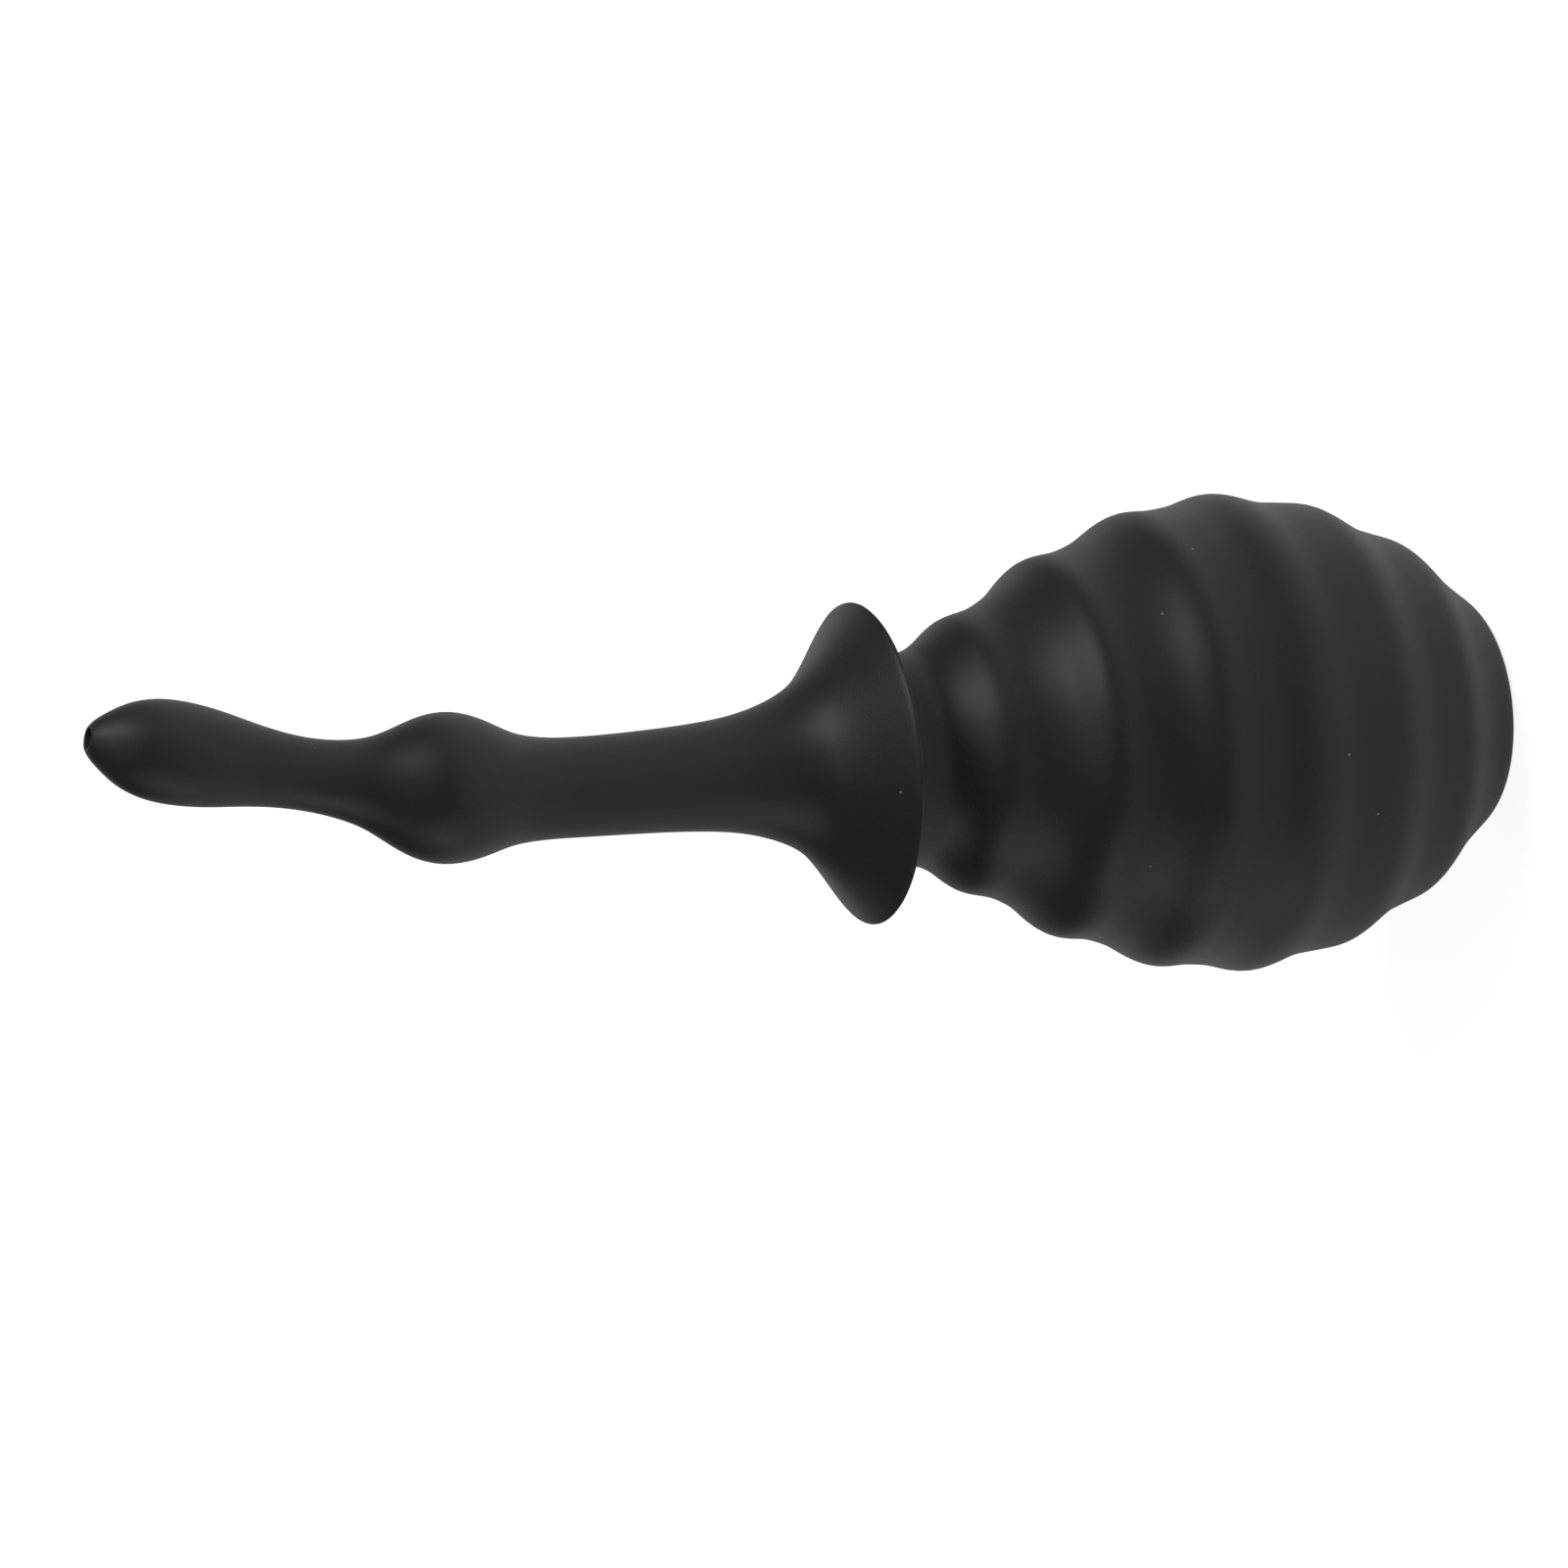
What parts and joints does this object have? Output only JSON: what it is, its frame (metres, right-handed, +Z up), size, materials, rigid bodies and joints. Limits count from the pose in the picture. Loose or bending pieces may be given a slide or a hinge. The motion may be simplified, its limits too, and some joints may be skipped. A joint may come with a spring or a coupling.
{
  "type": "squeeze bulb with curved nozzle",
  "caption": "Hand squeeze bulb with rounded ribs, standing on its base, with a flanged, curved nozzle that pulls out of its neck.",
  "frame": {"origin": "centre of the bulb's flat base, on the surface that it stands on", "axes": "+Z up the bulb's axis to the nozzle, +X the side that the nozzle's tip bends towards, +Y completes the right-handed frame, and XZ is the plane of symmetry"},
  "size_m": [0.0746, 0.0746, 0.2266],
  "materials": {
    "silicone_black": "satin",
    "plastic_black": "satin",
    "silicone_seal": "satin"
  },
  "bodies": {
    "bulb": {"bulb": "silicone_black"},
    "neck": {"neck_bush": "plastic_black"},
    "connector": {"connector": "plastic_black", "o_ring": "silicone_seal"},
    "nozzle": {"nozzle": "silicone_black"}
  },
  "joints": [
    {"name": "bulb_squeeze", "type": "slide", "parent": "bulb", "child": "neck", "axis": [0, 0, 1], "range_m": [-0.03, 0], "stiffness_N_per_m": 1500, "springref_m": 0.0005, "deforming": ["bulb"]},
    {"name": "nozzle_pull", "type": "slide", "parent": "neck", "child": "connector", "axis": [0, 0, 1], "range_m": [0, 0.02]},
    {"name": "nozzle_turn", "type": "hinge", "parent": "connector", "child": "nozzle", "pos_m": [0, 0, 0.105], "axis": [0, 0, 1], "continuous": true}
  ]
}
